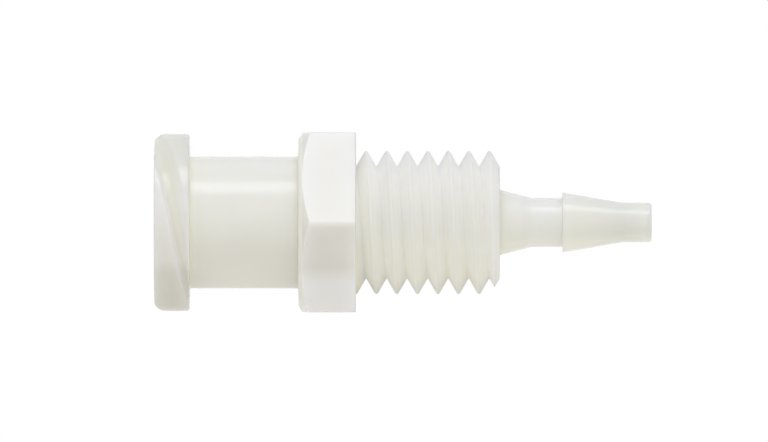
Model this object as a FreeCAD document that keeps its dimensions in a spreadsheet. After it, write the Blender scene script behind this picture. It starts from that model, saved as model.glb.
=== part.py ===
import FreeCAD, Part
import math
import os

import Sketcher

# A bulkhead luer fitting: one moulding with a female luer lock socket at one end, a hexagon that
# seats on the panel, a 1/4-28 threaded stud that goes through the panel, and a hose barb.
#
# Frame: X runs along the axis from the luer face to the barb's tip, Z is up, and the origin lies
# on the axis in the hexagon's shoulder face, which seats on the panel. The fitting lies on one
# flat of its hexagon. Lengths are in millimetres and angles in degrees.

DRIVING_SIZES = (
    ("across_flats", 7.94, "hexagon, across its flats"),
    ("hex_thickness", 2.54, "hexagon, along the axis"),
    ("hex_chamfer_diameter", 7.37, "where the corner chamfer meets the hexagon's luer side"),
    ("hex_chamfer_angle", 30.0, "corner chamfer, from the hexagon's face"),
    ("luer_length", 6.35, "luer face to hexagon"),
    ("hub_diameter", 5.83, "plain hub between flange and hexagon"),
    ("flange_diameter", 7.83, "crests of the luer lock thread"),
    ("flange_thickness", 1.55, "flange that carries the luer lock thread"),
    ("flange_round", 0.15, "rounding of the flange's rear edge"),
    ("lock_lead", 5.0, "luer lock thread, advance in one turn"),
    ("lock_starts", 2, "luer lock thread, number of starts"),
    ("lock_root_diameter", 6.9, "luer lock thread, floor of the groove"),
    ("lock_root_width", 0.3, "luer lock thread, width of the groove's floor"),
    ("lock_load_angle", 25.0, "flank that the mating collar pulls on, from square"),
    ("lock_front_angle", 45.0, "flank that faces the luer end, from square"),
    ("lock_run_in", 0.35, "luer face to the groove's far edge, at the top of the fitting"),
    ("stud_length", 6.35, "threaded stud, shoulder to end"),
    ("stud_diameter", 6.32, "threaded stud, over its crests"),
    ("thread_pitch", 0.9071, "28 threads to the inch"),
    ("thread_angle", 60.0, "between the flanks of the stud's thread"),
    ("thread_crest_flat", 0.09, "flat on the thread's crest"),
    ("thread_root_flat", 0.03, "flat in the thread's root"),
    ("stud_end_angle", 60.0, "lead-in cone at the stud's end, from the axis"),
    ("neck_base_diameter", 2.89, "neck where it leaves the stud"),
    ("neck_diameter", 2.17, "neck behind the barb"),
    ("neck_taper_length", 1.42, "tapered part of the neck"),
    ("neck_plain_length", 1.35, "plain part of the neck, where the tube grips"),
    ("barb_diameter", 2.66, "sharp edge of the barb"),
    ("barb_length", 2.69, "barb, edge to tip"),
    ("tip_diameter", 1.74, "plain tip that starts the tube"),
    ("tip_length", 1.25, "plain tip, along the axis"),
    ("tip_round", 0.12, "rounding of the tip's end"),
    ("socket_diameter", 4.3, "luer socket at its mouth"),
    ("socket_taper", 0.06, "loss of socket diameter for each millimetre of depth"),
    ("socket_depth", 7.9, "tapered part of the luer socket"),
    ("socket_floor_angle", 60.0, "floor cone of the socket, from the axis"),
    ("core_diameter", 2.2, "passage through the hexagon and stud"),
    ("core_end_wall", 1.0, "stud end to the step down in the passage"),
    ("tube_bore", 1.02, "passage through the neck and barb"),
)

# Radii and stations along X that follow from the sizes above.
WORKED_OUT = (
    ("hex_back_x", "-sizes.hex_thickness"),
    ("luer_face_x", "-sizes.hex_thickness - sizes.luer_length"),
    ("flange_back_x", "luer_face_x + sizes.flange_thickness"),
    ("hex_corner_radius", "sizes.across_flats / (2 * cos(30 deg))"),
    ("hex_half_flats", "sizes.across_flats / 2"),
    ("chamfer_face_radius", "sizes.hex_chamfer_diameter / 2"),
    ("chamfer_clear_radius", "1.1 * hex_corner_radius"),
    (
        "chamfer_clear_x",
        "hex_back_x + (chamfer_clear_radius - chamfer_face_radius)"
        " * tan(sizes.hex_chamfer_angle * 1 deg)",
    ),
    ("hub_radius", "sizes.hub_diameter / 2"),
    ("flange_radius", "sizes.flange_diameter / 2"),
    ("stud_radius", "sizes.stud_diameter / 2"),
    (
        "thread_depth",
        "(sizes.thread_pitch - sizes.thread_crest_flat - sizes.thread_root_flat)"
        " / (2 * tan(sizes.thread_angle * 0.5 deg))",
    ),
    ("thread_root_radius", "stud_radius - thread_depth"),
    ("stud_end_x", "sizes.stud_length * 1"),
    ("lead_in_x", "stud_end_x - thread_depth / tan(sizes.stud_end_angle * 1 deg)"),
    ("neck_base_radius", "sizes.neck_base_diameter / 2"),
    ("neck_radius", "sizes.neck_diameter / 2"),
    ("neck_taper_x", "stud_end_x + sizes.neck_taper_length"),
    ("barb_edge_x", "neck_taper_x + sizes.neck_plain_length"),
    ("barb_radius", "sizes.barb_diameter / 2"),
    ("barb_end_x", "barb_edge_x + sizes.barb_length"),
    ("tip_radius", "sizes.tip_diameter / 2"),
    ("tip_end_x", "barb_end_x + sizes.tip_length"),
    ("groove_clear", "sizes.thread_pitch / 4"),
    ("groove_top_radius", "stud_radius + groove_clear"),
    ("groove_start_x", "-sizes.thread_pitch"),
    ("groove_root_from_x", "groove_start_x - sizes.thread_root_flat / 2"),
    ("groove_root_to_x", "groove_start_x + sizes.thread_root_flat / 2"),
    (
        "groove_flank_run",
        "(groove_top_radius - thread_root_radius) * tan(sizes.thread_angle * 0.5 deg)",
    ),
    ("groove_top_from_x", "groove_root_from_x - groove_flank_run"),
    ("groove_top_to_x", "groove_root_to_x + groove_flank_run"),
    ("groove_travel", "sizes.stud_length + 2.5 * sizes.thread_pitch"),
    ("lock_root_radius", "sizes.lock_root_diameter / 2"),
    ("lock_depth", "flange_radius - lock_root_radius"),
    ("lock_top_radius", "flange_radius + lock_depth"),
    (
        "lock_crest_to_x",
        "luer_face_x + sizes.lock_run_in - sizes.lock_lead / sizes.lock_starts",
    ),
    ("lock_root_to_x", "lock_crest_to_x - lock_depth * tan(sizes.lock_front_angle * 1 deg)"),
    ("lock_root_from_x", "lock_root_to_x - sizes.lock_root_width"),
    ("lock_top_to_x", "lock_root_to_x + 2 * lock_depth * tan(sizes.lock_front_angle * 1 deg)"),
    ("lock_top_from_x", "lock_root_from_x - 2 * lock_depth * tan(sizes.lock_load_angle * 1 deg)"),
    ("socket_mouth_radius", "sizes.socket_diameter / 2"),
    ("socket_floor_radius", "socket_mouth_radius - sizes.socket_taper * sizes.socket_depth / 2"),
    ("socket_floor_x", "luer_face_x + sizes.socket_depth"),
    ("core_radius", "sizes.core_diameter / 2"),
    (
        "core_start_x",
        "socket_floor_x + (socket_floor_radius - core_radius)"
        " / tan(sizes.socket_floor_angle * 1 deg)",
    ),
    ("core_end_x", "stud_end_x - sizes.core_end_wall"),
    ("tube_bore_radius", "sizes.tube_bore / 2"),
    (
        "tube_bore_start_x",
        "core_end_x + (core_radius - tube_bore_radius) / tan(sizes.socket_floor_angle * 1 deg)",
    ),
    ("on_axis", "0"),
)


def make_sheets(doc):
    """Fill one sheet with the driving sizes and one with what is worked out from them."""
    sizes = doc.addObject("Spreadsheet::Sheet", "sizes")
    for row, (alias, value, meaning) in enumerate(DRIVING_SIZES, start=1):
        sizes.set(f"A{row}", str(value))
        sizes.setAlias(f"A{row}", alias)
        sizes.set(f"B{row}", meaning)
    doc.recompute()
    places = doc.addObject("Spreadsheet::Sheet", "places")
    for row, (alias, _) in enumerate(WORKED_OUT, start=1):
        places.setAlias(f"A{row}", alias)
    for row, (_, formula) in enumerate(WORKED_OUT, start=1):
        places.set(f"A{row}", "=" + formula)
    doc.recompute()
    return places


def origin_feature(body, role):
    """The body's own base plane or axis of the given role."""
    return next(item for item in body.Origin.OriginFeatures if item.Role == role)


def add_sketch(body, name, role):
    """An empty sketch on one of the body's base planes."""
    sketch = body.newObject("Sketcher::SketchObject", name)
    sketch.AttachmentSupport = [(origin_feature(body, role), "")]
    sketch.MapMode = "FlatFace"
    return sketch


def bind(sketch, constraint, expression):
    """Add a dimension to the sketch and tie it to the sheet."""
    index = sketch.addConstraint(constraint)
    name = f"size_{index}"
    sketch.renameConstraint(index, name)
    sketch.setExpression(f"Constraints.{name}", expression)


def add_outline(body, places, name, corners):
    """A closed outline in the XZ plane, with each corner at two named places: along X, and out."""
    sketch = add_sketch(body, name, "XZ_Plane")
    points = [
        FreeCAD.Vector(float(places.get(along)), float(places.get(out)), 0)
        for along, out in corners
    ]
    count = len(points)
    for index in range(count):
        sketch.addGeometry(Part.LineSegment(points[index], points[(index + 1) % count]), False)
    for index in range(count):
        following = (index + 1) % count
        sketch.addConstraint(Sketcher.Constraint("Coincident", index, 2, following, 1))
    for index, (along, out) in enumerate(corners):
        across = Sketcher.Constraint("DistanceX", -1, 1, index, 1, points[index].x)
        bind(sketch, across, f"places.{along}")
        if out == "on_axis":
            sketch.addConstraint(Sketcher.Constraint("PointOnObject", index, 1, -1))
        else:
            upward = Sketcher.Constraint("DistanceY", -1, 1, index, 1, points[index].y)
            bind(sketch, upward, f"places.{out}")
    return sketch


def revolve(body, kind, name, sketch):
    """Turn an outline once about X, as material or as a cut."""
    feature = body.newObject(kind, name)
    feature.Profile = sketch
    feature.ReferenceAxis = (sketch, ["H_Axis"])
    feature.Angle = 360
    sketch.Visibility = False
    return feature


def cut_helix(body, name, sketch, pitch, height):
    """Cut a right-handed groove of the sketch's section round X."""
    feature = body.newObject("PartDesign::SubtractiveHelix", name)
    feature.Profile = sketch
    feature.ReferenceAxis = (origin_feature(body, "X_Axis"), [""])
    feature.Mode = "pitch-height-angle"
    feature.LeftHanded = False
    feature.Reversed = False
    feature.Refine = False
    feature.setExpression("Pitch", pitch)
    feature.setExpression("Height", height)
    return feature


def round_edge(doc, body, name, base, along, out, radius):
    """Round the circular edge of the base feature that lies at the given places."""
    doc.recompute()
    places = doc.getObject("places")
    at_x = float(places.get(along))
    at_radius = float(places.get(out))
    found = []
    for number, edge in enumerate(base.Shape.Edges, start=1):
        box = edge.BoundBox
        flat = box.XLength < 1e-4 and abs(box.XMin - at_x) < 1e-4
        if flat and abs(box.ZMax - at_radius) < 1e-4:
            found.append(f"Edge{number}")
    feature = body.newObject("PartDesign::Fillet", name)
    feature.Base = (base, found)
    feature.setExpression("Radius", radius)
    return feature


def make_stud(doc, body, places):
    """The stud with its lead-in cone, the neck, the barb and the tip, then the 1/4-28 thread."""
    outline = add_outline(
        body,
        places,
        "stud_outline",
        (
            ("hex_back_x", "on_axis"),
            ("hex_back_x", "stud_radius"),
            ("lead_in_x", "stud_radius"),
            ("stud_end_x", "thread_root_radius"),
            ("stud_end_x", "neck_base_radius"),
            ("neck_taper_x", "neck_radius"),
            ("barb_edge_x", "neck_radius"),
            ("barb_edge_x", "barb_radius"),
            ("barb_end_x", "tip_radius"),
            ("tip_end_x", "tip_radius"),
            ("tip_end_x", "on_axis"),
        ),
    )
    stud = revolve(body, "PartDesign::Revolution", "stud_and_barb", outline)
    round_edge(doc, body, "tip_rounding", stud, "tip_end_x", "tip_radius", "sizes.tip_round")
    # The groove starts one pitch inside the hexagon, which is added later and fills it there, and
    # runs out past the stud's end. Its root is at the top of the fitting in the shoulder face.
    section = add_outline(
        body,
        places,
        "thread_section",
        (
            ("groove_root_from_x", "thread_root_radius"),
            ("groove_top_from_x", "groove_top_radius"),
            ("groove_top_to_x", "groove_top_radius"),
            ("groove_root_to_x", "thread_root_radius"),
        ),
    )
    cut_helix(body, "stud_thread", section, "sizes.thread_pitch", "places.groove_travel")


def make_hexagon(body, places):
    """The hexagon, with flats at top and bottom and its corners chamfered on the luer side."""
    sketch = add_sketch(body, "hex_outline", "YZ_Plane")
    radius = float(places.get("hex_corner_radius"))
    corners = [
        FreeCAD.Vector(radius * math.cos(math.radians(turn)), radius * math.sin(math.radians(turn)), 0)
        for turn in range(0, 360, 60)
    ]
    for index in range(6):
        sketch.addGeometry(Part.LineSegment(corners[index], corners[(index + 1) % 6]), False)
    centre = FreeCAD.Vector(0, 0, 0)
    upward = FreeCAD.Vector(0, 0, 1)
    guide = sketch.addGeometry(Part.Circle(centre, upward, radius), True)
    sketch.addConstraint(Sketcher.Constraint("Coincident", guide, 3, -1, 1))
    for index in range(6):
        following = (index + 1) % 6
        sketch.addConstraint(Sketcher.Constraint("Coincident", index, 2, following, 1))
        sketch.addConstraint(Sketcher.Constraint("PointOnObject", index, 1, guide))
    for index in range(1, 6):
        sketch.addConstraint(Sketcher.Constraint("Equal", 0, index))
    sketch.addConstraint(Sketcher.Constraint("PointOnObject", 0, 1, -1))
    half = Sketcher.Constraint("DistanceY", -1, 1, 1, 1, corners[1].y)
    bind(sketch, half, "places.hex_half_flats")
    hexagon = body.newObject("PartDesign::Pad", "hexagon")
    hexagon.Profile = sketch
    hexagon.Reversed = True
    hexagon.setExpression("Length", "sizes.hex_thickness")
    corner_cut = add_outline(
        body,
        places,
        "hex_chamfer_section",
        (
            ("hex_back_x", "chamfer_face_radius"),
            ("hex_back_x", "chamfer_clear_radius"),
            ("chamfer_clear_x", "chamfer_clear_radius"),
        ),
    )
    revolve(body, "PartDesign::Groove", "hex_chamfer", corner_cut)


def make_luer_end(doc, body, places):
    """The hub and its flange, then the luer lock thread cut across the flange."""
    outline = add_outline(
        body,
        places,
        "hub_outline",
        (
            ("luer_face_x", "on_axis"),
            ("luer_face_x", "flange_radius"),
            ("flange_back_x", "flange_radius"),
            ("flange_back_x", "hub_radius"),
            ("hex_back_x", "hub_radius"),
            ("hex_back_x", "on_axis"),
        ),
    )
    hub = revolve(body, "PartDesign::Revolution", "hub_and_flange", outline)
    round_edge(
        doc, body, "flange_rounding", hub, "flange_back_x", "flange_radius", "sizes.flange_round"
    )
    section = add_outline(
        body,
        places,
        "lock_section",
        (
            ("lock_root_from_x", "lock_root_radius"),
            ("lock_top_from_x", "lock_top_radius"),
            ("lock_top_to_x", "lock_top_radius"),
            ("lock_root_to_x", "lock_root_radius"),
        ),
    )
    groove = cut_helix(body, "lock_thread", section, "sizes.lock_lead", "sizes.lock_lead")
    starts = body.newObject("PartDesign::PolarPattern", "lock_thread_starts")
    starts.Originals = [groove]
    starts.Axis = (origin_feature(body, "X_Axis"), [""])
    starts.Angle = 360
    starts.setExpression("Occurrences", "sizes.lock_starts")
    starts.Refine = False
    body.Tip = starts


def make_bore(body, places):
    """The tapered luer socket, and the passage that goes on through the stud and the barb."""
    outline = add_outline(
        body,
        places,
        "bore_outline",
        (
            ("luer_face_x", "on_axis"),
            ("luer_face_x", "socket_mouth_radius"),
            ("socket_floor_x", "socket_floor_radius"),
            ("core_start_x", "core_radius"),
            ("core_end_x", "core_radius"),
            ("tube_bore_start_x", "tube_bore_radius"),
            ("tip_end_x", "tube_bore_radius"),
            ("tip_end_x", "on_axis"),
        ),
    )
    revolve(body, "PartDesign::Groove", "socket_and_passage", outline)


def check(doc, body):
    """Stop if a feature failed, a cut removed nothing, or the body isn't one sound solid."""
    for item in doc.Objects:
        if "Invalid" in item.State or "Error" in item.State:
            raise RuntimeError(f"{item.Label} failed")
    before = 0.0
    for item in body.Group:
        if item.TypeId == "Sketcher::SketchObject":
            continue
        volume = item.Shape.Volume
        adds = item.TypeId in ("PartDesign::Revolution", "PartDesign::Pad")
        if adds and volume <= before:
            raise RuntimeError(f"{item.Label} adds nothing")
        if not adds and volume >= before:
            raise RuntimeError(f"{item.Label} cuts nothing")
        print(f"{item.Label}: {volume:.2f} cubic mm")
        before = volume
    shape = body.Shape
    if shape.isNull() or not shape.isValid() or len(shape.Solids) != 1:
        raise RuntimeError(f"{body.Label} isn't one sound solid")


def main():
    """Build the fitting and write its solid."""
    doc = FreeCAD.newDocument("bulkhead_luer_fitting")
    places = make_sheets(doc)
    body = doc.addObject("PartDesign::Body", "fitting_body")
    body.Label = "fitting_body"
    make_stud(doc, body, places)
    make_hexagon(body, places)
    make_luer_end(doc, body, places)
    make_bore(body, places)
    doc.recompute()
    check(doc, body)
    os.makedirs("parts", exist_ok=True)
    body.Shape.exportStep(f"parts/{body.Label}.step")


main()
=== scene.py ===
"""A bulkhead luer fitting in natural nylon, lying on its hexagon on a pale studio floor.

The fitting is one moulding, so it is dressed as one closed skin. Each part of the fitting is a class that
gives its own stretch of that skin: the luer end with its lock thread, the hexagon, the threaded stud, the
barb and the passage. Both threads are made by one Geometry Nodes tree. Sizes in the classes are in
millimetres, and the scene is in metres.
"""

import logging
import math
from dataclasses import dataclass, field
from enum import Enum
from typing import Any, Dict, List, Optional, Sequence, Tuple, Union

import bmesh
import bpy
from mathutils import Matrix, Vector

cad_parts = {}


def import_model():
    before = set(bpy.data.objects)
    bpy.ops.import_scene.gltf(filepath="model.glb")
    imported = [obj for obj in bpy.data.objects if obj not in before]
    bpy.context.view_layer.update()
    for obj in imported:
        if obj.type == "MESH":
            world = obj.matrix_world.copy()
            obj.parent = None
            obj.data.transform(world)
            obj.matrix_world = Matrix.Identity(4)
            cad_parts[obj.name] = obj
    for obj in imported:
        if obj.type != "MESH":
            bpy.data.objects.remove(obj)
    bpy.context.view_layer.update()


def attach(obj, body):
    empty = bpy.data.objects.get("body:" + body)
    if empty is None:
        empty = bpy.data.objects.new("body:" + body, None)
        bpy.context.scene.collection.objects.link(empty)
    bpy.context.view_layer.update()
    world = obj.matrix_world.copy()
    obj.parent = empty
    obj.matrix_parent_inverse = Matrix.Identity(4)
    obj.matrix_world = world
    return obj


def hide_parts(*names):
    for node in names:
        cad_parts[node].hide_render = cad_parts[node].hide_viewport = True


# One millimetre, and the columns of the skin round the axis
MM = 0.001
COLUMNS = 192

# How near points are merged, and how short an edge is dropped, in metres
WELD = 4e-7
SLIVER = 1e-7

Colour = Tuple[float, float, float]

log = logging.getLogger("fitting")


# Node trees


class Wire:
    """An output socket of a node tree that can be used in an expression."""

    def __init__(self, bench: "Bench", socket: bpy.types.NodeSocket) -> None:
        """Keep the socket and the tree that it belongs to.

        Args:
            bench: The tree being wired.
            socket: The output socket.
        """
        self.bench = bench
        self.socket = socket

    def __add__(self, other: "Value") -> "Wire":
        """Sum of two values."""
        return self.bench.math("ADD", self, other)

    def __radd__(self, other: "Value") -> "Wire":
        """Sum with a plain number on the left."""
        return self.bench.math("ADD", other, self)

    def __sub__(self, other: "Value") -> "Wire":
        """Difference of two values."""
        return self.bench.math("SUBTRACT", self, other)

    def __rsub__(self, other: "Value") -> "Wire":
        """Difference from a plain number on the left."""
        return self.bench.math("SUBTRACT", other, self)

    def __mul__(self, other: "Value") -> "Wire":
        """Product of two values."""
        return self.bench.math("MULTIPLY", self, other)

    def __rmul__(self, other: "Value") -> "Wire":
        """Product with a plain number on the left."""
        return self.bench.math("MULTIPLY", other, self)

    def __gt__(self, other: "Value") -> "Wire":
        """1 where this value is the larger, else 0."""
        return self.bench.math("GREATER_THAN", self, other)


Value = Union[float, Wire]
Tint = Union[Colour, Wire]


class Bench:
    """A node tree while it is being wired.

    A Mix node has sockets for every data type side by side, so they are known by number.
    """

    MIX_SHARE = 0
    MIX_VECTORS = (4, 5)
    MIX_COLOURS = (6, 7)
    MIXED_VECTOR = 1
    MIXED_COLOUR = 2

    def __init__(self, tree: bpy.types.NodeTree) -> None:
        """Start on a tree.

        Args:
            tree: The shader or geometry tree to fill.
        """
        self.tree = tree

    def put(
        self,
        kind: str,
        settings: Optional[Dict[str, Any]] = None,
        inputs: Optional[Dict[Union[str, int], Any]] = None,
    ) -> bpy.types.Node:
        """Add one node.

        Args:
            kind: The node's type name.
            settings: Its own settings, set first.
            inputs: A value or a Wire for each input socket, by name or number.

        Returns:
            The node.
        """
        node = self.tree.nodes.new(kind)
        for name, value in (settings or {}).items():
            setattr(node, name, value)
        for name, value in (inputs or {}).items():
            if isinstance(value, Wire):
                self.tree.links.new(value.socket, node.inputs[name])
            else:
                node.inputs[name].default_value = value
        return node

    def out(self, node: bpy.types.Node, name: Union[str, int] = 0) -> Wire:
        """One output of a node."""
        return Wire(self, node.outputs[name])

    def math(self, operation: str, *values: Value) -> Wire:
        """A Math node on plain numbers or Wires.

        Args:
            operation: The Math node's operation.
            values: Its inputs in order.

        Returns:
            The result.
        """
        node = self.put("ShaderNodeMath", {"operation": operation}, dict(enumerate(values)))
        return self.out(node)

    def blend(self, share: Value, first: Tint, second: Tint) -> Wire:
        """Mix two colours.

        Args:
            share: How much of the second colour.
            first: Colour where the share is 0.
            second: Colour where the share is 1.

        Returns:
            The mixed colour.
        """
        colours = [tint if isinstance(tint, Wire) else (*tint, 1.0) for tint in (first, second)]
        inputs = {self.MIX_SHARE: share, **dict(zip(self.MIX_COLOURS, colours))}
        return self.out(self.put("ShaderNodeMix", {"data_type": "RGBA"}, inputs), self.MIXED_COLOUR)

    def lean(self, share: Value, first: Wire, second: Wire) -> Wire:
        """Mix two directions.

        Args:
            share: How much of the second direction.
            first: Direction where the share is 0.
            second: Direction where the share is 1.

        Returns:
            The unit direction between them.
        """
        inputs = {self.MIX_SHARE: share, **dict(zip(self.MIX_VECTORS, (first, second)))}
        mixed = self.out(self.put("ShaderNodeMix", {"data_type": "VECTOR"}, inputs), self.MIXED_VECTOR)
        return self.unit(mixed)

    def unit(self, direction: Wire) -> Wire:
        """A direction at length 1."""
        return self.out(self.put("ShaderNodeVectorMath", {"operation": "NORMALIZE"}, {0: direction}))


# Outlines and the skin

Point = Tuple[float, float]


@dataclass(frozen=True)
class Corner:
    """A corner of an outline: its place along the axis, its radius, and how far it is rounded."""

    x: float
    r: float
    rounding: float = 0.0
    steps: int = 4


def trace(corners: Sequence[Corner]) -> List[Point]:
    """Turn corners into points, with an arc at each rounded corner.

    Args:
        corners: The outline in order.

    Returns:
        Points as (along the axis, radius), in millimetres.
    """
    points: List[Point] = []
    for index, corner in enumerate(corners):
        here = Vector((corner.x, corner.r))
        if corner.rounding == 0.0 or index in (0, len(corners) - 1):
            points.append((corner.x, corner.r))
            continue
        back = (Vector((corners[index - 1].x, corners[index - 1].r)) - here).normalized()
        ahead = (Vector((corners[index + 1].x, corners[index + 1].r)) - here).normalized()
        half = back.angle(ahead) / 2
        centre = here + (back + ahead).normalized() * (corner.rounding / math.sin(half))
        start = here + back * (corner.rounding / math.tan(half)) - centre
        sweep = math.pi - 2 * half
        turn = -1.0 if back.x * ahead.y - back.y * ahead.x > 0 else 1.0
        for step in range(corner.steps + 1):
            angle = turn * sweep * step / corner.steps
            cosine, sine = math.cos(angle), math.sin(angle)
            spoke = Vector((start.x * cosine - start.y * sine, start.x * sine + start.y * cosine))
            points.append((centre.x + spoke.x, centre.y + spoke.y))
    return points


def refine(points: Sequence[Point], longest: float) -> List[Point]:
    """Divide the runs of an outline that are longer than a given length.

    Args:
        points: The outline.
        longest: Longest run to leave whole, in millimetres.

    Returns:
        The outline with more points.
    """
    finer = [points[0]]
    for before, after in zip(points, points[1:]):
        parts = max(1, math.ceil(math.dist(before, after) / longest))
        for part in range(1, parts + 1):
            share = part / parts
            finer.append(tuple(a + (b - a) * share for a, b in zip(before, after)))
    return finer


class Skin:
    """The closed surface of the fitting, gathered from its stretches."""

    def __init__(self) -> None:
        """Start empty."""
        self.bm = bmesh.new()

    def ring(
        self, x: Union[float, Sequence[float]], radii: Sequence[float], angles: Sequence[float]
    ) -> List[bmesh.types.BMVert]:
        """Add one ring of points round the axis.

        Args:
            x: Place along the axis, in millimetres, or one place for each point.
            radii: One radius for each point.
            angles: One angle for each point, from +Y towards +Z.

        Returns:
            The ring's points.
        """
        places = x if isinstance(x, (list, tuple)) else [x] * len(angles)
        return [
            self.bm.verts.new((a * MM, r * math.cos(t) * MM, r * math.sin(t) * MM))
            for a, r, t in zip(places, radii, angles)
        ]

    def band(self, first: Sequence[bmesh.types.BMVert], second: Sequence[bmesh.types.BMVert]) -> None:
        """Join two rings that have the same angles."""
        count = len(first)
        for index in range(count):
            following = (index + 1) % count
            self.bm.faces.new((first[index], first[following], second[following], second[index]))

    def zip_flat(self, first: Sequence[bmesh.types.BMVert], second: Sequence[bmesh.types.BMVert]) -> None:
        """Join two rings in one plane that have different angles.

        Args:
            first: A ring in order of angle, from angle 0.
            second: The other ring, in the same order.
        """
        i = j = 0
        counts = len(first), len(second)

        def angle(ring: Sequence[bmesh.types.BMVert], index: int) -> float:
            """Angle of a ring's point, counted on past a full turn."""
            turns, place = divmod(index, len(ring))
            point = ring[place].co
            return math.atan2(point.z, point.y) % math.tau + turns * math.tau

        while i < counts[0] or j < counts[1]:
            a, b = first[i % counts[0]], second[j % counts[1]]
            take_first = j >= counts[1] or (i < counts[0] and angle(first, i + 1) <= angle(second, j + 1))
            if take_first:
                self.bm.faces.new((a, first[(i + 1) % counts[0]], b))
                i += 1
            else:
                self.bm.faces.new((a, second[(j + 1) % counts[1]], b))
                j += 1

    def add_turned(self, points: Sequence[Point]) -> None:
        """Turn an outline once round the axis."""
        angles = [math.tau * column / COLUMNS for column in range(COLUMNS)]
        rings = [self.ring(x, [r] * COLUMNS, angles) for x, r in points]
        for first, second in zip(rings, rings[1:]):
            self.band(first, second)

    def add_mesh(self, mesh: bpy.types.Mesh) -> None:
        """Take in a finished mesh, and remove it."""
        self.bm.from_mesh(mesh)
        bpy.data.meshes.remove(mesh)

    def close(self, name: str) -> bpy.types.Mesh:
        """Weld the stretches, turn the faces outwards and give the mesh.

        Args:
            name: The mesh's name.

        Returns:
            One closed mesh, smooth shaded.
        """
        bmesh.ops.remove_doubles(self.bm, verts=self.bm.verts, dist=WELD)
        bmesh.ops.dissolve_degenerate(self.bm, dist=SLIVER, edges=self.bm.edges)
        bmesh.ops.recalc_face_normals(self.bm, faces=self.bm.faces)
        open_edges = sum(1 for edge in self.bm.edges if len(edge.link_faces) != 2)
        log.info("skin: %d faces, %d open edges", len(self.bm.faces), open_edges)
        for face in self.bm.faces:
            face.smooth = True
        mesh = bpy.data.meshes.new(name)
        self.bm.to_mesh(mesh)
        self.bm.free()
        return mesh


# Threads


@dataclass(frozen=True)
class Thread:
    """A helical groove that is cut into a turned outline."""

    lead: float
    starts: int
    crest_radius: float
    root_radius: float
    root_width: float
    fore_angle: float
    aft_angle: float
    root_at_top: float
    rows_per_lead: int
    softness: float

    def climb(self, angle: float) -> float:
        """Radius that a flank gains for its run along the axis."""
        return 1 / math.tan(math.radians(angle))


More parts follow.
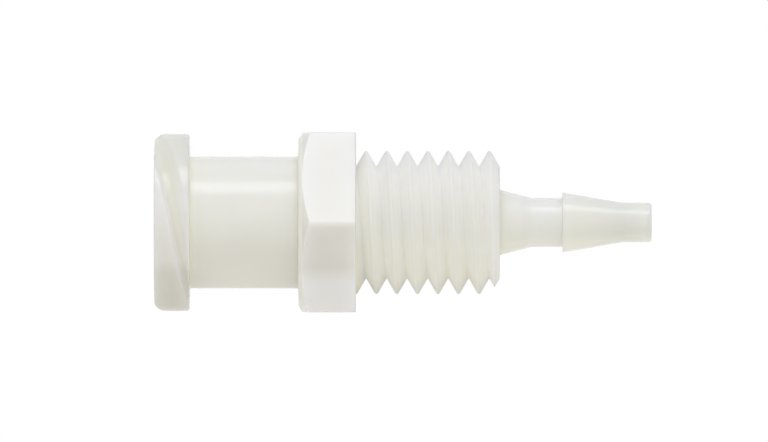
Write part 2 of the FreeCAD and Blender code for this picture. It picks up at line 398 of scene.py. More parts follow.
class ThreadedSkin:
    """The Geometry Nodes tree that wraps an outline round the axis and cuts a thread into it.

    The rows of the wrap climb with the thread, so that its crests and roots follow them. Rows that start
    before the outline or run past its end gather at its ends, where they are merged. The first row is a
    plain collar, from which a flat face runs to the start of the outline, along the groove where it cuts in.
    """

    CREST_SLACK = 0.0005
    INPUTS = (
        ("Outline", "NodeSocketObject"),
        ("Collar Radius", "NodeSocketFloat"),
        ("Columns", "NodeSocketInt"),
        ("Rows", "NodeSocketInt"),
        ("Row Step", "NodeSocketFloat"),
        ("Lead", "NodeSocketFloat"),
        ("Pitch", "NodeSocketFloat"),
        ("Root Place", "NodeSocketFloat"),
        ("Root Radius", "NodeSocketFloat"),
        ("Root Half Width", "NodeSocketFloat"),
        ("Fore Climb", "NodeSocketFloat"),
        ("Aft Climb", "NodeSocketFloat"),
        ("Crest Radius", "NodeSocketFloat"),
        ("Softness", "NodeSocketFloat"),
        ("Finish", "NodeSocketMaterial"),
    )

    def __init__(self) -> None:
        """Build the tree."""
        self.tree = bpy.data.node_groups.new("threaded_skin", "GeometryNodeTree")
        self.sockets = {
            name: self.tree.interface.new_socket(name=name, in_out="INPUT", socket_type=kind)
            for name, kind in self.INPUTS
        }
        self.tree.interface.new_socket(name="Geometry", in_out="OUTPUT", socket_type="NodeSocketGeometry")
        self._wire()

    def _wire(self) -> None:
        """Fill the tree."""
        bench = Bench(self.tree)
        given = bench.put("NodeGroupInput")
        size = {name: bench.out(given, name) for name, _ in self.INPUTS}
        grid = bench.put(
            "GeometryNodeMeshGrid",
            {},
            {
                "Size X": 1.0,
                "Size Y": 1.0,
                "Vertices X": size["Columns"] + 1.0,
                "Vertices Y": size["Rows"] + 1.0,
            },
        )
        place = bench.put("ShaderNodeSeparateXYZ", {}, {0: bench.out(bench.put("GeometryNodeInputPosition"))})
        turn = bench.out(place, "X") + 0.5
        climbed = size["Lead"] * turn
        row = (bench.out(place, "Y") + 0.5) * size["Rows"] * size["Row Step"]
        shape = bench.put(
            "GeometryNodeObjectInfo", {"transform_space": "ORIGINAL"}, {"Object": size["Outline"]}
        )
        outline = bench.out(shape, "Geometry")
        full = bench.out(bench.put("GeometryNodeCurveLength", {}, {0: outline}))
        started = row - size["Row Step"] + climbed - size["Lead"]
        travelled = bench.math("MINIMUM", bench.math("MAXIMUM", started, 0.0), full)
        sample = bench.put(
            "GeometryNodeSampleCurve", {"mode": "LENGTH"}, {"Curves": outline, "Length": travelled}
        )
        station = bench.put("ShaderNodeSeparateXYZ", {}, {0: bench.out(sample, "Position")})
        along, body = bench.out(station, "X"), bench.out(station, "Z")
        half = size["Pitch"] * 0.5
        offset = bench.math("WRAP", along - size["Root Place"] - climbed, half, half * -1.0)
        fore = (offset - size["Root Half Width"]) * size["Fore Climb"]
        aft = (offset * -1.0 - size["Root Half Width"]) * size["Aft Climb"]
        flank = size["Root Radius"] + bench.math("MAXIMUM", fore, aft)
        groove = bench.math("SMOOTH_MAX", flank, size["Root Radius"], size["Softness"])
        cut = bench.math("SMOOTH_MIN", body, groove, size["Softness"])
        clear = body > size["Crest Radius"]
        turned = cut + (body - cut) * clear
        radius = turned + (size["Collar Radius"] - turned) * (size["Row Step"] * 0.5 > row)
        angle = turn * math.tau
        wrapped = bench.put(
            "ShaderNodeCombineXYZ",
            {},
            {
                "X": along,
                "Y": radius * bench.math("COSINE", angle),
                "Z": radius * bench.math("SINE", angle),
            },
        )
        places = {"Geometry": bench.out(grid, "Mesh"), "Position": bench.out(wrapped)}
        moved = bench.put("GeometryNodeSetPosition", {}, places)
        merged = bench.put(
            "GeometryNodeMergeByDistance", {}, {"Geometry": bench.out(moved), "Distance": WELD}
        )
        single = bench.put("GeometryNodeRealizeInstances", {}, {"Geometry": bench.out(merged)})
        dressed = bench.put(
            "GeometryNodeSetMaterial", {}, {"Geometry": bench.out(single), "Material": size["Finish"]}
        )
        bench.put("NodeGroupOutput", {}, {"Geometry": bench.out(dressed)})

    def wrap(self, thread: Thread, points: Sequence[Point], finish: bpy.types.Material) -> bpy.types.Mesh:
        """Wrap one outline and cut one thread.

        Args:
            thread: The groove.
            points: The collar, then the outline, in millimetres.
            finish: The material.

        Returns:
            The wrapped stretch of skin.
        """
        (_, collar_radius), *path = points
        curve = bpy.data.curves.new("outline", "CURVE")
        curve.dimensions = "3D"
        spline = curve.splines.new("POLY")
        spline.points.add(len(path) - 1)
        for target, (x, r) in zip(spline.points, path):
            target.co = (x * MM, 0.0, r * MM, 1.0)
        outline = bpy.data.objects.new("outline", curve)
        holder = bpy.data.objects.new("wrap", bpy.data.meshes.new("wrap"))
        for item in (outline, holder):
            bpy.context.scene.collection.objects.link(item)
        length = sum(math.dist(a, b) for a, b in zip(path, path[1:]))
        step = thread.lead / thread.rows_per_lead
        values = {
            "Outline": outline,
            "Columns": COLUMNS,
            "Collar Radius": collar_radius * MM,
            "Rows": math.ceil((length + thread.lead) / step) + 1,
            "Row Step": step * MM,
            "Lead": thread.lead * MM,
            "Pitch": thread.lead / thread.starts * MM,
            "Root Place": (thread.root_at_top - thread.lead / 4) * MM,
            "Root Radius": thread.root_radius * MM,
            "Root Half Width": thread.root_width / 2 * MM,
            "Fore Climb": thread.climb(thread.fore_angle),
            "Aft Climb": thread.climb(thread.aft_angle),
            "Crest Radius": (thread.crest_radius + self.CREST_SLACK) * MM,
            "Softness": thread.softness * MM,
            "Finish": finish,
        }
        modifier = holder.modifiers.new("threaded_skin", "NODES")
        modifier.node_group = self.tree
        for name, value in values.items():
            modifier[self.sockets[name].identifier] = value
        holder.update_tag()
        graph = bpy.context.evaluated_depsgraph_get()
        mesh = bpy.data.meshes.new_from_object(holder.evaluated_get(graph))
        holder.modifiers.remove(modifier)
        spare = holder.data
        bpy.data.objects.remove(holder)
        bpy.data.meshes.remove(spare)
        bpy.data.objects.remove(outline)
        bpy.data.curves.remove(curve)
        return mesh


# Parts of the fitting


@dataclass
class LuerEnd:
    """The hub with its flange, on which the luer lock thread is cut."""

    face_x: float = -8.89
    hub_radius: float = 2.915
    flange_radius: float = 3.915
    flange_thickness: float = 1.55
    front_rounding: float = 0.06
    rear_rounding: float = 0.15
    root_fillet: float = 0.06
    mouth_ring: float = 2.5
    flange_ring: float = 3.1
    hex_x: float = -2.54
    hex_ring: float = 3.2
    longest_run: float = 0.4
    thread: Thread = field(
        default_factory=lambda: Thread(
            lead=5.0,
            starts=2,
            crest_radius=3.915,
            root_radius=3.45,
            root_width=0.3,
            fore_angle=45.0,
            aft_angle=25.0,
            root_at_top=-9.155,
            rows_per_lead=120,
            softness=0.15,
        )
    )

    def add_to(self, skin: Skin, wrapper: ThreadedSkin, finish: bpy.types.Material) -> None:
        """Add the flange and the hub to the skin.

        Args:
            skin: The fitting's skin.
            wrapper: The tree that cuts threads.
            finish: The material.
        """
        back_x = self.face_x + self.flange_thickness
        flange = trace(
            (
                Corner(self.face_x, self.mouth_ring),
                Corner(self.face_x, self.flange_radius, self.front_rounding),
                Corner(back_x, self.flange_radius, self.rear_rounding, 8),
                Corner(back_x, self.flange_ring),
            )
        )
        skin.add_mesh(wrapper.wrap(self.thread, flange, finish))
        hub = trace(
            (
                Corner(back_x, self.flange_ring),
                Corner(back_x, self.hub_radius, self.root_fillet),
                Corner(self.hex_x, self.hub_radius, self.root_fillet),
                Corner(self.hex_x, self.hex_ring),
            )
        )
        skin.add_turned(refine(hub, self.longest_run))


@dataclass
class Hexagon:
    """The hexagon, with its corners chamfered on the luer side."""

    luer_x: float = -2.54
    half_flats: float = 3.97
    chamfer_radius: float = 3.685
    chamfer_angle: float = 30.0
    corner_rounding: float = 0.09
    chamfer_rounding: float = 0.08
    edge_rounding: float = 0.05
    luer_ring: float = 3.2
    luer_start: float = 3.4
    shoulder_end: float = 3.75
    shoulder_ring: float = 3.6
    sides: int = 6
    corner_degrees: Tuple[float, ...] = (-2.4, -1.2, -0.6, -0.4, -0.2, 0.0, 0.2, 0.4, 0.6, 1.2, 2.4)
    flat_start_degrees: float = 4.5
    flat_columns: int = 16

    def _angles(self) -> List[float]:
        """Angles of the columns, closer together at the six corners."""
        side = 360.0 / self.sides
        step = (side - 2 * self.flat_start_degrees) / (self.flat_columns - 1)
        flat = [self.flat_start_degrees + step * column for column in range(self.flat_columns)]
        places = (*self.corner_degrees, *flat)
        angles = [side * corner + place for corner in range(self.sides) for place in places]
        return sorted(math.radians(angle) % math.tau for angle in angles)

    def _reach(self, angle: float) -> float:
        """Radius of the rounded hexagon at an angle."""
        half = math.pi / self.sides
        off = abs((angle + half) % (2 * half) - half)
        rounding = self.corner_rounding
        centre = (self.half_flats - rounding) / math.cos(half)
        tangent = math.atan2(rounding * math.sin(half), centre + rounding * math.cos(half))
        if off < tangent:
            return centre * math.cos(off) + math.sqrt(rounding**2 - (centre * math.sin(off)) ** 2)
        return self.half_flats / math.cos(half - off)

    def add_to(self, skin: Skin) -> None:
        """Add the hexagon to the skin, between plain rings on its two faces.

        Args:
            skin: The fitting's skin.
        """
        angles = self._angles()
        climb = math.tan(math.radians(self.chamfer_angle))
        outlines = []
        for angle in angles:
            reach = self._reach(angle)
            meet_x = self.luer_x + (reach - self.chamfer_radius) * climb
            corners = (
                Corner(self.luer_x, self.luer_start),
                Corner(self.luer_x, self.chamfer_radius, self.chamfer_rounding, 2),
                Corner(meet_x, reach, self.edge_rounding, 3),
                Corner(0.0, reach, self.edge_rounding),
                Corner(0.0, self.shoulder_end),
            )
            outlines.append(trace(corners))
        rings = []
        for level in zip(*outlines):
            places, reaches = zip(*level)
            rings.append(skin.ring(places, reaches, angles))
        for first, second in zip(rings, rings[1:]):
            skin.band(first, second)
        even = [math.tau * column / COLUMNS for column in range(COLUMNS)]
        skin.zip_flat(skin.ring(self.luer_x, [self.luer_ring] * COLUMNS, even), rings[0])
        skin.zip_flat(skin.ring(0.0, [self.shoulder_ring] * COLUMNS, even), rings[-1])


@dataclass
class ThreadedStud:
    """The stud that goes through the panel, with its thread and lead-in cone."""

    length: float = 6.35
    radius: float = 3.16
    shoulder_ring: float = 3.6
    end_angle: float = 60.0
    end_rounding: float = 0.04
    end_ring: float = 2.3786
    thread: Thread = field(
        default_factory=lambda: Thread(
            lead=0.9071,
            starts=1,
            crest_radius=3.16,
            root_radius=2.4786,
            root_width=0.03,
            fore_angle=30.0,
            aft_angle=30.0,
            root_at_top=0.0,
            rows_per_lead=26,
            softness=0.035,
        )
    )

    def add_to(self, skin: Skin, wrapper: ThreadedSkin, finish: bpy.types.Material) -> None:
        """Add the stud to the skin, from the hexagon's shoulder to the stud's end face.

        Args:
            skin: The fitting's skin.
            wrapper: The tree that cuts threads.
            finish: The material.
        """
        root = self.thread.root_radius
        lead_in = self.length - (self.radius - root) / math.tan(math.radians(self.end_angle))
        outline = trace(
            (
                Corner(0.0, self.shoulder_ring),
                Corner(0.0, self.radius),
                Corner(lead_in, self.radius),
                Corner(self.length, root, self.end_rounding),
                Corner(self.length, self.end_ring),
            )
        )
        skin.add_mesh(wrapper.wrap(self.thread, outline, finish))


@dataclass
class Barb:
    """The neck, the hose barb and its plain tip."""

    stud_end_x: float = 6.35
    stud_ring: float = 2.3786
    base_radius: float = 1.445
    neck_radius: float = 1.085
    taper_length: float = 1.42
    plain_length: float = 1.35
    barb_radius: float = 1.33
    barb_length: float = 2.69
    tip_radius: float = 0.87
    tip_length: float = 1.25
    bore_radius: float = 0.51
    base_fillet: float = 0.06
    taper_rounding: float = 0.3
    neck_fillet: float = 0.04
    barb_rounding: float = 0.015
    tip_blend: float = 0.6
    tip_rounding: float = 0.12
    bore_rounding: float = 0.04
    seam_depth: float = 0.2
    longest_run: float = 0.4

    def add_to(self, skin: Skin) -> None:
        """Add the outside from the stud's end face to the tip's inner edge.

        Args:
            skin: The fitting's skin.
        """
        taper_x = self.stud_end_x + self.taper_length
        edge_x = taper_x + self.plain_length
        barb_end_x = edge_x + self.barb_length
        tip_x = barb_end_x + self.tip_length
        outline = trace(
            (
                Corner(self.stud_end_x, self.stud_ring),
                Corner(self.stud_end_x, self.base_radius, self.base_fillet),
                Corner(taper_x, self.neck_radius, self.taper_rounding, 3),
                Corner(edge_x, self.neck_radius, self.neck_fillet, 3),
                Corner(edge_x, self.barb_radius, self.barb_rounding, 3),
                Corner(barb_end_x, self.tip_radius, self.tip_blend, 3),
                Corner(tip_x, self.tip_radius, self.tip_rounding, 6),
                Corner(tip_x, self.bore_radius, self.bore_rounding, 3),
                Corner(tip_x - self.seam_depth, self.bore_radius),
            )
        )
        skin.add_turned(refine(outline, self.longest_run))


@dataclass
class Passage:
    """The luer socket, and the passage that goes on through the stud and the barb."""

    mouth_x: float = -8.89
    mouth_ring: float = 2.5
    mouth_radius: float = 2.15
    socket_depth: float = 7.9
    socket_taper: float = 0.06
    floor_angle: float = 60.0
    core_radius: float = 1.1
    core_end_x: float = 5.35
    bore_radius: float = 0.51
    tip_x: float = 13.06
    step_rounding: float = 0.05
    floor_rounding: float = 0.1
    mouth_rounding: float = 0.08
    seam_depth: float = 0.2
    longest_run: float = 0.8

    def add_to(self, skin: Skin) -> None:
        """Add the inside, from the barb's tip back to the luer face.

        Args:
            skin: The fitting's skin.
        """
        climb = math.tan(math.radians(self.floor_angle))
        floor_radius = self.mouth_radius - self.socket_taper * self.socket_depth / 2
        floor_x = self.mouth_x + self.socket_depth
        core_x = floor_x + (floor_radius - self.core_radius) / climb
        bore_x = self.core_end_x + (self.core_radius - self.bore_radius) / climb
        outline = trace(
            (
                Corner(self.tip_x - self.seam_depth, self.bore_radius),
                Corner(bore_x, self.bore_radius, self.step_rounding, 2),
                Corner(self.core_end_x, self.core_radius, self.step_rounding, 2),
                Corner(core_x, self.core_radius, self.step_rounding, 2),
                Corner(floor_x, floor_radius, self.floor_rounding, 3),
                Corner(self.mouth_x, self.mouth_radius, self.mouth_rounding),
                Corner(self.mouth_x, self.mouth_ring),
            )
        )
        skin.add_turned(refine(outline, self.longest_run))


# Finish


Stops = Tuple[Tuple[float, float], ...]


class Measure(Enum):
    """What a tone is measured by."""

    RADIUS = "distance from the axis"
    HEIGHT = "height over the axis"


@dataclass(frozen=True)
class PaintedTone:
    """Painted light and shade on one stretch of the fitting, by distance from the axis or by height."""

    start_x: float
    end_x: float
    measure: Measure
    stops: Stops


@dataclass(frozen=True)
class NaturalNylon:
    """Uncoloured moulded nylon: milky, faintly yellow, satin, with light passing a little way in.

    Its brightness follows curves along the axis, by height and by distance from the axis. They are painted
    light and shade: lighter in the grooves, the corners and underneath, darker at rims, ends and the bottom,
    with painted highlights on the neck and the tip. Only the darker thread crests also stand for the thin
    nylon that light crosses there. The curves were set against the photo, so they hold some of its light too.
    """

    name: str = "natural_nylon"
    pale: Colour = (0.82, 0.81, 0.735)
    deep: Colour = (0.79, 0.78, 0.69)
    cloud_scale: Tuple[float, float, float] = (160.0, 420.0, 420.0)
    cloud_detail: float = 3.0
    cloud_contrast: float = 1.6
    cloud_offset: float = -0.3
    grain_scale: float = 2600.0
    grain_detail: float = 2.0
    grain_strength: float = 0.05
    grain_depth: float = 0.02
    roughness: float = 0.2
    thread_roughness: float = 0.75
    roughness_change: float = 0.08
    ior: float = 1.53
    gloss: float = 0.3
    scatter: float = 1.0
    scatter_depth: float = 1.4
    scatter_by_colour: Colour = (1.0, 0.97, 0.88)
    # Painted light and shade along the axis: darker rims and ends, lighter corners, painted highlights
    painted_light_along_axis: Stops = (
        # painted shade: the flange darker, most of all at its luer face and its rear rim
        (-8.89, 0.88),
        (-8.8, 0.93),
        (-7.7, 0.92),
        (-7.36, 0.86),
        # painted light on the hub beside the flange, against the shade of that corner
        (-7.33, 1.1),
        (-6.95, 1.0),
        # painted light on the hub beside the hexagon and on its chamfer; the hexagon a little darker
        (-3.0, 1.0),
        (-2.6, 1.05),
        (-2.38, 1.05),
        (-2.34, 0.96),
        (-0.09, 0.96),
        # painted shade at the shoulder, then painted light on the stud's first turns, against the shoulder's
        # shade
        (0.0, 0.9),
        (0.01, 1.18),
        (0.35, 1.17),
        (0.7, 1.05),
        (1.1, 1.0),
        # painted shade at the stud's end, then painted light on the neck, with its painted highlight
        (6.25, 1.0),
        (6.34, 0.95),
        (6.36, 1.1),
        (6.8, 1.04),
        (7.4, 1.04),
        (7.8, 1.12),
        (9.1, 1.12),
        # painted shade on the barb's edge
        (9.12, 0.92),
        (9.3, 1.0),
        # painted highlight on the tip, then painted shade at its end
        (11.0, 1.02),
        (11.8, 1.06),
        (12.75, 1.05),
        (12.97, 0.94),
        (13.06, 0.84),
    )
    # Painted light and shade on stretches of the fitting, by distance from the axis or by height
    painted_tones: Tuple[PaintedTone, ...] = (
        # flange: painted light deep in the lock thread's groove, against its shade
        PaintedTone(-8.89, -7.34, Measure.RADIUS, ((3.45, 1.09), (3.65, 1.07), (3.9, 1.0))),
        # flange: painted shade towards the bottom, and a little at the top
        PaintedTone(
            -8.89,
            -7.34,
            Measure.HEIGHT,
            ((-3.2, 0.86), (-2.25, 0.88), (-1.7, 0.99), (1.0, 0.99), (2.5, 0.95)),
        ),
        # hub: painted shade at the bottom, painted light at the top
        PaintedTone(-7.34, -2.36, Measure.HEIGHT, ((-1.8, 0.95), (-0.5, 1.0), (1.6, 1.0), (2.2, 1.03))),
        # hexagon: a lighter painted band low on its lower faces, painted shade above it
        PaintedTone(-2.36, 0.0, Measure.HEIGHT, ((-2.6, 1.05), (-2.0, 0.95), (-0.2, 0.96), (-0.1, 1.0))),
        # stud: painted light in the roots; painted shade on the crests, which also stands for their thin
        # nylon
        PaintedTone(0.0, 6.35, Measure.RADIUS, ((2.48, 1.1), (2.75, 1.03), (2.95, 1.0), (3.1, 0.93), (3.16, 0.86))),
        # stud: painted shade on the lowest crests, painted light on the lower turns, a little shade on top
        PaintedTone(0.0, 6.35, Measure.HEIGHT, ((-3.1, 0.92), (-2.5, 1.06), (-1.2, 1.06), (-0.4, 1.0), (0.3, 0.97))),
        # neck, barb and tip: painted light underneath
        PaintedTone(6.4, 13.1, Measure.HEIGHT, ((-1.1, 1.08), (-0.4, 1.02), (0.2, 1.0))),
    )
    # Painted tints on the blue alone, that go with the painted light and shade
    painted_blue_tones: Tuple[PaintedTone, ...] = (
        # flange: yellower painted shade at the bottom and the top
        PaintedTone(-8.89, -7.34, Measure.HEIGHT, ((-2.25, 0.94), (-1.7, 1.0), (1.2, 1.0), (2.2, 0.95))),
        # hexagon: a bluer painted sheen on the lighter band low on its lower faces
        PaintedTone(-2.36, 0.0, Measure.HEIGHT, ((-2.6, 1.09), (-2.0, 1.0))),
        # stud: bluer in the painted light of the roots, yellower in the painted shade of the crests
        PaintedTone(0.0, 6.35, Measure.RADIUS, ((2.48, 1.08), (2.75, 1.01), (2.95, 0.985), (3.16, 0.93))),
        # barb and tip: a yellower painted tint towards the thin tip
        PaintedTone(9.1, 13.1, Measure.RADIUS, ((0.87, 0.93), (1.3, 0.98))),
    )
    blur: float = 0.02
    blue_share: float = 0.7
    brightest: float = 1.18
    stud_start_x: float = 0.0
    stud_end_x: float = 6.35
    grooved: Tuple[Tuple[float, float, float], ...] = ((-8.85, -7.38, 0.55), (0.03, 6.32, 0.4))
    grooved_from_radius: float = 2.3

    def _share(self, bench: Bench, value: Wire, low: float, high: float) -> Wire:
        """0 below a length in millimetres, 1 above another, and even between."""
        limits = {"Value": value, "From Min": low * MM, "From Max": high * MM}
        return bench.out(bench.put("ShaderNodeMapRange", {"clamp": True}, limits))

    def _curve(self, bench: Bench, value: Wire, stops: Stops) -> Value:
        """Brightness that runs evenly from stop to stop.

        Args:
            bench: The material's tree.
            value: A length, in metres.
            stops: Lengths in millimetres, in rising order, each with its brightness.

        Returns:
            The brightness.
        """
        level: Value = stops[0][1]
        for (low, before), (high, after) in zip(stops, stops[1:]):
            if before != after:
                level = self._share(bench, value, low, high) * (after - before) + level
        return level

    def _within(self, bench: Bench, x: Wire, start: float, end: float) -> Wire:
        """1 on a stretch along the axis, and 0 off it."""
        begun = self._share(bench, x, start - self.blur, start + self.blur)
        ended = self._share(bench, x, end - self.blur, end + self.blur)
        return begun * (1 - ended)

    def _with_painted_light(
        self, bench: Bench, level: Wire, painted_tones: Sequence[PaintedTone], x: Wire, measures: Dict[Measure, Wire]
    ) -> Wire:
        """Apply painted light and shade to a brightness, each tone on its own stretch.

        Args:
            bench: The material's tree.
            level: Brightness before the tones.
            painted_tones: The tones.
            x: Place along the axis.
            measures: What each measure reads.

        Returns:
            The brightness after them.
        """
        for tone in painted_tones:
            change = self._curve(bench, measures[tone.measure], tone.stops) - 1
            level = level * (1 + self._within(bench, x, tone.start_x, tone.end_x) * change)
        return level

    def _softened(self, bench: Bench, x: Wire, y: Wire, z: Wire, radius: Wire) -> Wire:
        """Normal that leans outwards in the grooves, as light that wanders through nylon blurs their shading.

        Args:
            bench: The material's tree.
            x: Place along the axis.
            y: Place across the axis, level.
            z: Height over the axis.
            radius: Distance from the axis.

        Returns:
            The unit normal, in world directions.
        """
        shape = bench.out(bench.put("ShaderNodeNewGeometry"), "Normal")
        spoke = bench.out(bench.put("ShaderNodeCombineXYZ", {}, {0: 0.0, 1: y, 2: z}))
        turned = bench.put(
            "ShaderNodeVectorTransform",
            {"vector_type": "VECTOR", "convert_from": "OBJECT", "convert_to": "WORLD"},
            {0: spoke},
        )
        outward = bench.unit(bench.out(turned))
        softening: Value = 0.0
        for start, end, share in self.grooved:
            softening = softening + self._within(bench, x, start, end) * share
        outside = self._share(bench, radius, self.grooved_from_radius, self.grooved_from_radius + self.blur)
        return bench.lean(softening * outside, shape, outward)

    def _noise(self, bench: Bench, place: Wire, scale: float, detail: float) -> Wire:
        """Noise about 0.5, at a scale and with a level of detail."""
        inputs = {"Vector": place, "Scale": scale, "Detail": detail}
        return bench.out(bench.put("ShaderNodeTexNoise", {}, inputs))

    def _colour(self, bench: Bench, x: Wire, measures: Dict[Measure, Wire], cloud: Wire) -> Wire:
        """Colour of the nylon from place to place, with painted light and shade on it.

        Args:
            bench: The material's tree.
            x: Place along the axis.
            measures: What each measure reads.
            cloud: Noise that tells the milky places from the deeper ones.

        Returns:
            The base colour.
        """
        share = bench.math("MULTIPLY_ADD", cloud, self.cloud_contrast, self.cloud_offset)
        share = bench.math("MINIMUM", bench.math("MAXIMUM", share, 0.0), 1.0)
        milky = bench.blend(share, self.pale, self.deep)
        # Painted light and shade: the curves along the axis and the painted tones lighten or darken the
        # nylon,
        # and the blue follows them more weakly, with its own painted tints.
        level = self._with_painted_light(bench, self._curve(bench, x, self.painted_light_along_axis), self.painted_tones, x, measures)
        level = bench.math("MINIMUM", level, self.brightest)
        blue = bench.math("POWER", level, self.blue_share)
        blue = self._with_painted_light(bench, blue, self.painted_blue_tones, x, measures)
        painted_light_and_shade = bench.put("ShaderNodeCombineXYZ", {}, {0: level, 1: level, 2: blue})
        tinted = {0: milky, 1: bench.out(painted_light_and_shade)}
        return bench.out(bench.put("ShaderNodeVectorMath", {"operation": "MULTIPLY"}, tinted))

    def make(self) -> bpy.types.Material:
        """Build the material.

        Returns:
            The finished material.
        """
        material = bpy.data.materials.new(self.name)
        material.use_nodes = True
        tree = material.node_tree
        tree.nodes.clear()
        bench = Bench(tree)
        place = bench.out(bench.put("ShaderNodeTexCoord"), "Object")
        axes = bench.put("ShaderNodeSeparateXYZ", {}, {0: place})
        x, y, z = (bench.out(axes, name) for name in "XYZ")
        radius = bench.math("SQRT", y * y + z * z)
        on_stud = self._within(bench, x, self.stud_start_x, self.stud_end_x)
        stretching = {"Vector": place, "Scale": self.cloud_scale}
        stretched = bench.out(bench.put("ShaderNodeMapping", {}, stretching))
        cloud = self._noise(bench, stretched, 1.0, self.cloud_detail)
        grain = self._noise(bench, place, self.grain_scale, self.grain_detail)
        colour = self._colour(bench, x, {Measure.RADIUS: radius, Measure.HEIGHT: z}, cloud)
        normal = self._softened(bench, x, y, z, radius)
        bump = bench.put(
            "ShaderNodeBump",
            {},
            {
                "Strength": self.grain_strength,
                "Distance": self.grain_depth * MM,
                "Height": grain,
                "Normal": normal,
            },
        )
        satin = self.roughness + on_stud * (self.thread_roughness - self.roughness)
        satin = satin + (cloud - 0.5) * self.roughness_change
        shader = bench.put(
            "ShaderNodeBsdfPrincipled",
            {"subsurface_method": "RANDOM_WALK"},
            {
                "Base Color": colour,
                "Roughness": satin,
                "IOR": self.ior,
                "Specular IOR Level": self.gloss,
                "Subsurface Weight": self.scatter,
                "Subsurface Radius": self.scatter_by_colour,
                "Subsurface Scale": self.scatter_depth * MM,
                "Normal": bench.out(bump),
            },
        )
        bench.put("ShaderNodeOutputMaterial", {}, {"Surface": bench.out(shader)})
        return material


@dataclass
class Fitting:
    """The whole moulding."""

    luer_end: LuerEnd = field(default_factory=LuerEnd)
    hexagon: Hexagon = field(default_factory=Hexagon)
    stud: ThreadedStud = field(default_factory=ThreadedStud)
    barb: Barb = field(default_factory=Barb)
    passage: Passage = field(default_factory=Passage)
    finish: NaturalNylon = field(default_factory=NaturalNylon)
    flat_face_weight: int = 50

    def build(self) -> bpy.types.Object:
        """Make the moulding as one closed, dressed object.

        Returns:
            The object, at the origin, unturned and unscaled.
        """
        nylon = self.finish.make()
        skin = Skin()
        wrapper = ThreadedSkin()
        self.luer_end.add_to(skin, wrapper, nylon)
        self.hexagon.add_to(skin)
        self.stud.add_to(skin, wrapper, nylon)
        self.barb.add_to(skin)
        self.passage.add_to(skin)
        mesh = skin.close("nylon_moulding")
        mesh.materials.clear()
        mesh.materials.append(nylon)
        rough = bpy.data.objects.new("rough_moulding", mesh)
        bpy.context.scene.collection.objects.link(rough)
        weighted = rough.modifiers.new("weighted_normal", "WEIGHTED_NORMAL")
        weighted.weight = self.flat_face_weight
        graph = bpy.context.evaluated_depsgraph_get()
        finished = bpy.data.meshes.new_from_object(rough.evaluated_get(graph))
        finished.name = "nylon_moulding"
        bpy.data.objects.remove(rough)
        piece = bpy.data.objects.new("nylon_moulding", finished)
        bpy.context.scene.collection.objects.link(piece)
        return piece


# Studio


class Feeds(Enum):
    """What a lamp lights."""

    ALL = "the body of the nylon and its gloss"
    BODY = "the body of the nylon alone"


@dataclass(frozen=True)
class SoftBox:
    """An area lamp with an even face, aimed at the fitting."""

    name: str
    azimuth: float
    elevation: float
    distance: float
    width: float
    height: float
    brightness: float
    feeds: Feeds = Feeds.ALL
    colour: Colour = (1.0, 1.0, 1.0)

    def place(self) -> bpy.types.Object:
        """Hang the lamp.

        Returns:
            The lamp's object.
        """
        data = bpy.data.lights.new(self.name, "AREA")
        data.shape = "RECTANGLE"
        data.size = self.width
        data.size_y = self.height
        data.energy = self.brightness * math.pi * self.width * self.height
        data.color = self.colour
        lamp = bpy.data.objects.new(self.name, data)
        around, up = math.radians(self.azimuth), math.radians(self.elevation)
        away = Vector((math.sin(around) * math.cos(up), -math.cos(around) * math.cos(up), math.sin(up)))
        lamp.location = away * self.distance
        lamp.rotation_mode = "QUATERNION"
        lamp.rotation_quaternion = away.to_track_quat("Z", "Y")
        lamp.visible_camera = False
        lamp.visible_glossy = self.feeds is Feeds.ALL
        bpy.context.scene.collection.objects.link(lamp)
        return lamp


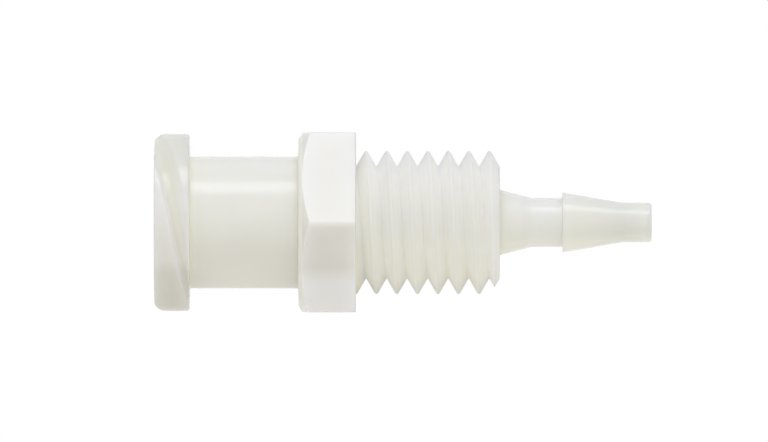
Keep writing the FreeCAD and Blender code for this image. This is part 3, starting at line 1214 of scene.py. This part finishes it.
@dataclass(frozen=True)
class Studio:
    """The pale floor, the lamps, the white surroundings and the camera."""

    floor_z: float = -3.975
    floor_half: float = 0.2
    room_light: float = 0.3
    floor_albedo: float = 0.3
    floor_glow: Colour = (0.61, 0.6, 0.57)
    floor_seen_glow: Colour = (0.82, 0.82, 0.82)
    centre_x: float = 1.241
    centre_z: float = 0.066
    lens: float = 900.0
    sensor_width: float = 36.0
    nearest_seen: float = 0.05
    farthest_seen: float = 10.0
    pixels_per_mm: float = 22.63
    picture_width: float = 768.0
    boxes: Tuple[SoftBox, ...] = (
        SoftBox("key_box", 0.0, 64.0, 0.6, 0.5, 0.24, 4.1, Feeds.ALL, (0.97, 1.0, 1.18)),
        SoftBox("key_strip", 0.0, 64.0, 0.6, 0.1, 0.24, 3.2, Feeds.BODY),
        SoftBox("front_strip", 0.0, 12.0, 0.8, 0.16, 0.34, 6.4, Feeds.BODY, (1.0, 1.0, 1.08)),
        SoftBox("luer_side_box", -80.0, 35.0, 0.8, 0.3, 0.3, 1.2, Feeds.BODY),
        SoftBox("barb_side_box", 80.0, 35.0, 0.8, 0.3, 0.3, 1.2, Feeds.BODY),
        SoftBox("back_box", 180.0, 45.0, 0.8, 0.5, 0.3, 0.8, Feeds.BODY),
    )

    def _seen(self, bench: Bench) -> Wire:
        """1 for rays from the camera, a reflection or a refraction, else 0."""
        path = bench.put("ShaderNodeLightPath")
        return bench.math(
            "MINIMUM",
            bench.out(path, "Is Camera Ray")
            + bench.out(path, "Is Glossy Ray")
            + bench.out(path, "Is Transmission Ray"),
            1.0,
        )

    def _surround(self) -> None:
        """White to look at, and an even room light on the fitting."""
        world = bpy.data.worlds.new("studio")
        world.use_nodes = True
        world.node_tree.nodes.clear()
        bench = Bench(world.node_tree)
        seen = self._seen(bench)
        strength = seen + (1 - seen) * self.room_light
        shade = bench.put("ShaderNodeBackground", {}, {"Color": (1.0, 1.0, 1.0, 1.0), "Strength": strength})
        bench.put("ShaderNodeOutputWorld", {}, {"Surface": bench.out(shade)})
        bpy.context.scene.world = world

    def _floor(self) -> None:
        """A plain pale floor that keeps the fitting's shadow."""
        material = bpy.data.materials.new("pale_floor")
        material.use_nodes = True
        material.node_tree.nodes.clear()
        bench = Bench(material.node_tree)
        seen = self._seen(bench)
        faint = bench.put("ShaderNodeBsdfDiffuse", {}, {"Color": (*[self.floor_albedo] * 3, 1.0)})
        glow = bench.put(
            "ShaderNodeEmission", {}, {"Color": bench.blend(seen, self.floor_glow, self.floor_seen_glow)}
        )
        lit = bench.put("ShaderNodeAddShader", {}, {0: bench.out(faint), 1: bench.out(glow)})
        bench.put("ShaderNodeOutputMaterial", {}, {"Surface": bench.out(lit)})
        half, z = self.floor_half, self.floor_z * MM
        mesh = bpy.data.meshes.new("floor")
        corners = [(-half, -half, z), (half, -half, z), (half, half, z), (-half, half, z)]
        mesh.from_pydata(corners, [], [(0, 1, 2, 3)])
        mesh.materials.append(material)
        floor = bpy.data.objects.new("floor", mesh)
        bpy.context.scene.collection.objects.link(floor)

    def _camera(self) -> None:
        """A long lens at the height of the fitting's axis, square to it."""
        data = bpy.data.cameras.new("camera")
        data.lens = self.lens
        data.sensor_width = self.sensor_width
        data.clip_start = self.nearest_seen
        data.clip_end = self.farthest_seen
        camera = bpy.data.objects.new("camera", data)
        distance = self.picture_width / self.sensor_width * self.lens / self.pixels_per_mm
        camera.location = (self.centre_x * MM, -distance * MM, self.centre_z * MM)
        camera.rotation_euler = (math.pi / 2, 0.0, 0.0)
        bpy.context.scene.collection.objects.link(camera)
        bpy.context.scene.camera = camera

    def set_up(self) -> None:
        """Make everything that isn't the fitting."""
        bpy.context.scene.view_settings.view_transform = "Standard"
        self._surround()
        self._floor()
        for box in self.boxes:
            box.place()
        self._camera()


def main() -> None:
    """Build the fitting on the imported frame, then the studio."""
    logging.basicConfig(level=logging.INFO, format="%(name)s: %(message)s")
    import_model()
    Studio().set_up()
    log.info("studio is set up")
    piece = Fitting().build()
    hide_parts("fitting_body")
    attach(piece, "root")
    log.info("%s: %d faces", piece.name, len(piece.data.polygons))


if __name__ == "__main__":
    main()
